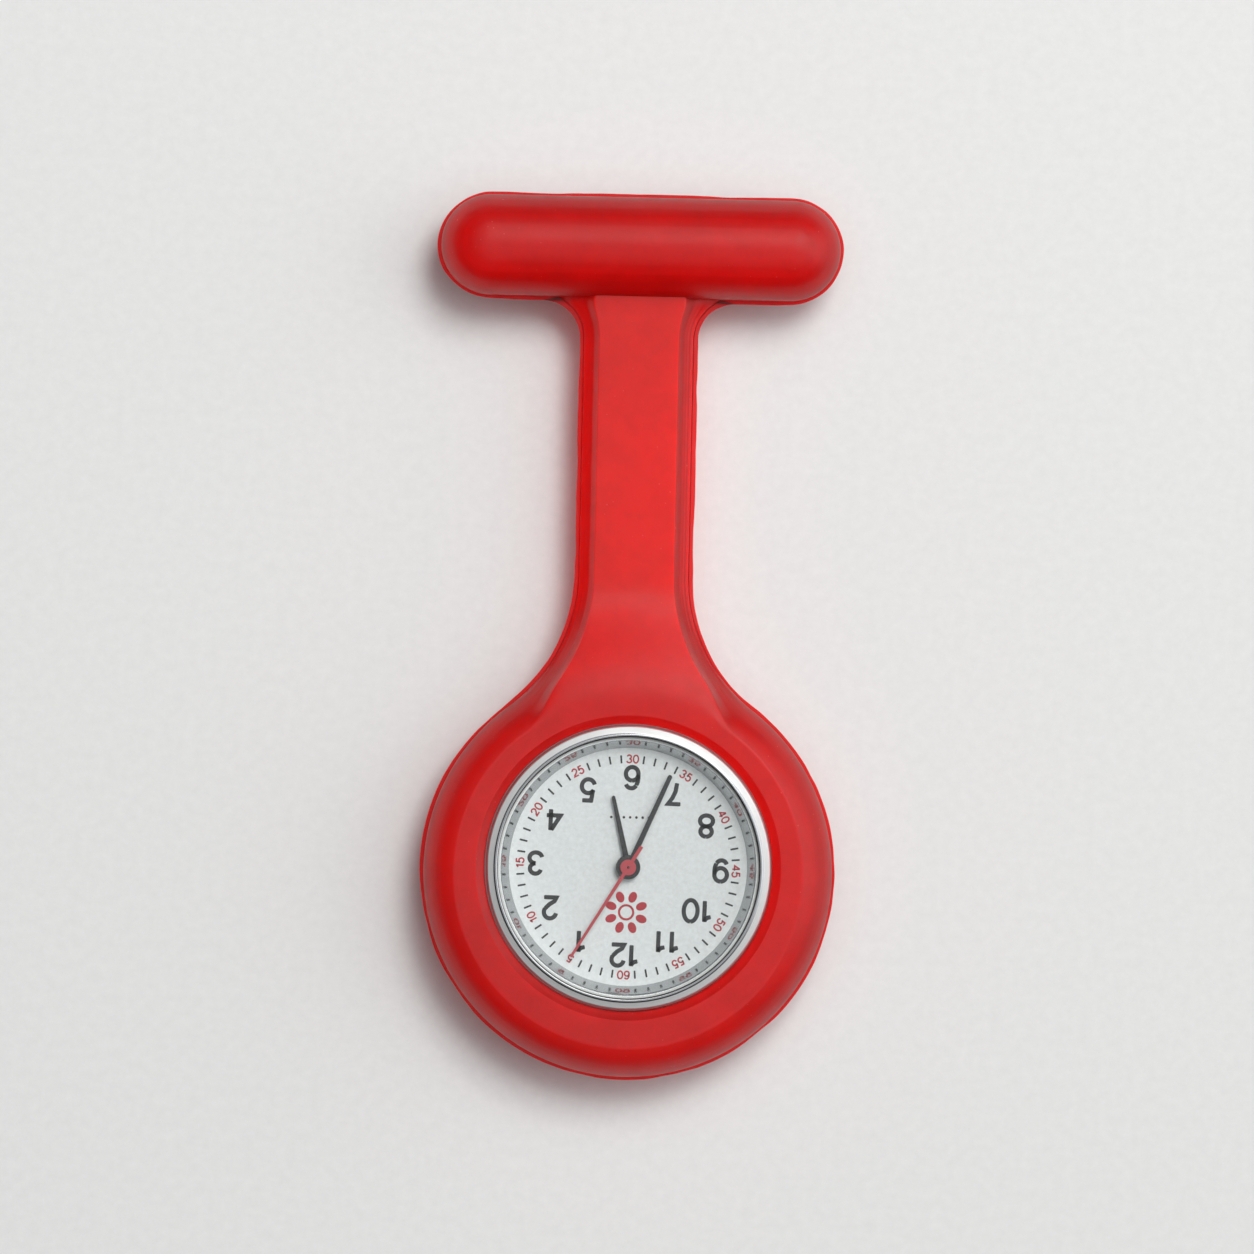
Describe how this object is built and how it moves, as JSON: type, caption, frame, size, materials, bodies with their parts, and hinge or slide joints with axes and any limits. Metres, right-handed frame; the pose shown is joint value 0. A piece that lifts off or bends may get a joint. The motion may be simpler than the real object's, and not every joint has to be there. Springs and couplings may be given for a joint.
{
  "type": "fob watch",
  "caption": "Nurse's fob watch: T-shaped silicone holder with a hidden bar pin, and a round quartz watch head with an upside-down numbered dial.",
  "frame": {"origin": "centre of the overall length and width, on the surface that the back rests on", "axes": "+Z out of the dial, +Y from the watch head to the pin bar, +X to the dial's nine o'clock side; the crown points to -X"},
  "size_m": [0.0412, 0.0878, 0.0103],
  "materials": {
    "silicone": "soft-touch satin, slightly translucent red silicone",
    "polished_steel": "polished stainless steel",
    "brushed_steel": "brushed stainless steel",
    "spring_steel": "drawn steel wire and pressed strip, bright",
    "mineral_glass": "clear polished mineral glass",
    "clear_nylon": "translucent white nylon",
    "dial_silver": "satin silver-white lacquer with printed numerals",
    "black_lacquer": "glossy black lacquer",
    "red_lacquer": "glossy dark red lacquer",
    "gasket_rubber": "black nitrile rubber",
    "white_plastic": "moulded white acetal",
    "plate_plastic": "moulded dark resin",
    "wheel_brass": "gilt brass",
    "gold_plate": "gold-plated spring strip",
    "magnet": "sintered magnet, dark grey",
    "soft_iron": "annealed nickel-iron sheet",
    "enamelled_copper": "wound enamelled copper wire",
    "circuit_green": "green solder mask",
    "chip_black": "black epoxy",
    "ruby": "red synthetic bearing"
  },
  "bodies": {
    "holder": {"silicone_holder": "silicone", "pin_bar": "brushed_steel", "pin_hinge_rivet": "spring_steel", "catch_housing": "brushed_steel", "case_middle": "polished_steel", "bezel": "polished_steel", "crystal": "mineral_glass", "crystal_gasket": "clear_nylon", "flange_ring": "polished_steel", "dial": "dial_silver", "dial_washer": "gold_plate", "case_back": "brushed_steel", "case_back_gasket": "gasket_rubber", "movement_holder": "white_plastic", "crown_tube": "brushed_steel", "keyless_cover": "brushed_steel", "cover_screws": "spring_steel", "stator": "soft_iron", "coil": "enamelled_copper", "coil_core": "soft_iron", "main_plate": "plate_plastic", "train_bridge": "brushed_steel", "bridge_bushes": "ruby", "plate_screws": "spring_steel", "circuit_board": "circuit_green", "circuit_chip": "chip_black", "quartz_can": "spring_steel", "battery": "polished_steel", "battery_clamp": "brushed_steel", "battery_contact": "gold_plate"},
    "needle": {"pin_needle": "spring_steel"},
    "catch": {"catch_roller": "brushed_steel"},
    "seconds": {"seconds_wheel": "wheel_brass", "seconds_hand": "red_lacquer"},
    "rotor": {"rotor_pinion": "spring_steel", "rotor_magnet": "magnet"},
    "fifth": {"fifth_wheel": "wheel_brass"},
    "third": {"third_wheel": "wheel_brass"},
    "centre": {"centre_wheel": "wheel_brass", "minute_hand": "black_lacquer"},
    "minute_works": {"minute_wheel": "wheel_brass"},
    "hour": {"hour_wheel": "wheel_brass", "hour_hand": "black_lacquer"},
    "setting": {"setting_wheel": "wheel_brass"},
    "crown_seal": {"crown_o_ring": "gasket_rubber"},
    "crown_stem": {"crown": "polished_steel", "stem": "spring_steel"},
    "clutch": {"clutch_wheel": "wheel_brass"},
    "yoke_slide": {"yoke": "spring_steel"},
    "lever": {"setting_lever": "spring_steel"}
  },
  "joints": [
    {"name": "pin_open", "type": "hinge", "parent": "holder", "child": "needle", "pos_m": [-0.013, 0.03852, 0.0027], "axis": [0, 1, 0], "range_deg": [0, 90]},
    {"name": "catch_turn", "type": "hinge", "parent": "holder", "child": "catch", "pos_m": [0.0126, 0.03852, 0.0027], "axis": [-1, 0, 0], "range_deg": [0, 100]},
    {"name": "seconds_spin", "type": "hinge", "parent": "holder", "child": "seconds", "pos_m": [0, -0.02268, 0.0036], "axis": [0, 0, -1], "continuous": true},
    {"name": "rotor_spin", "type": "hinge", "parent": "holder", "child": "rotor", "pos_m": [0.00245, -0.02712, 0.0038], "axis": [0, 0, -1], "continuous": true},
    {"name": "fifth_spin", "type": "hinge", "parent": "holder", "child": "fifth", "pos_m": [0.00097, -0.02535, 0.0043], "axis": [0, 0, -1], "continuous": true},
    {"name": "third_spin", "type": "hinge", "parent": "holder", "child": "third", "pos_m": [-0.00161, -0.02038, 0.004], "axis": [0, 0, -1], "continuous": true},
    {"name": "centre_spin", "type": "hinge", "parent": "holder", "child": "centre", "pos_m": [0, -0.02268, 0.0047], "axis": [0, 0, -1], "continuous": true},
    {"name": "minute_works_spin", "type": "hinge", "parent": "holder", "child": "minute_works", "pos_m": [-0.00173, -0.02167, 0.0057], "axis": [0, 0, -1], "continuous": true},
    {"name": "hour_spin", "type": "hinge", "parent": "holder", "child": "hour", "pos_m": [0, -0.02268, 0.006], "axis": [0, 0, -1], "continuous": true},
    {"name": "setting_spin", "type": "hinge", "parent": "holder", "child": "setting", "pos_m": [-0.00402, -0.02268, 0.0057], "axis": [0, 0, -1], "continuous": true},
    {"name": "crown_pull", "type": "slide", "parent": "holder", "child": "crown_seal", "axis": [-1, 0, 0], "range_m": [0, 0.0007]},
    {"name": "crown_turn", "type": "hinge", "parent": "crown_seal", "child": "crown_stem", "pos_m": [-0.015, -0.02268, 0.0051], "axis": [-1, 0, 0], "continuous": true},
    {"name": "clutch_shift", "type": "slide", "parent": "crown_stem", "child": "clutch", "axis": [1, 0, 0], "range_m": [0, 0.00105]},
    {"name": "yoke_shift", "type": "slide", "parent": "holder", "child": "yoke_slide", "axis": [1, 0, 0], "range_m": [0, 0.00035]},
    {"name": "lever_rock", "type": "hinge", "parent": "holder", "child": "lever", "pos_m": [-0.00795, -0.02438, 0.0057], "axis": [0, 0, 1], "range_deg": [0, 23.77]}
  ],
  "couplings": [
    {"joint": "fifth_spin", "follows": "seconds_spin", "ratio": -5},
    {"joint": "rotor_spin", "follows": "seconds_spin", "ratio": 30},
    {"joint": "third_spin", "follows": "seconds_spin", "ratio": -0.125},
    {"joint": "centre_spin", "follows": "seconds_spin", "ratio": 0.016667},
    {"joint": "minute_works_spin", "follows": "seconds_spin", "ratio": -0.0055556},
    {"joint": "hour_spin", "follows": "seconds_spin", "ratio": 0.0013889},
    {"joint": "setting_spin", "follows": "seconds_spin", "ratio": 0.0083333},
    {"joint": "clutch_shift", "follows": "crown_pull", "ratio": 1.5},
    {"joint": "yoke_shift", "follows": "crown_pull", "ratio": 0.5},
    {"joint": "lever_rock", "follows": "crown_pull", "rad_per_m": 592.5}
  ]
}
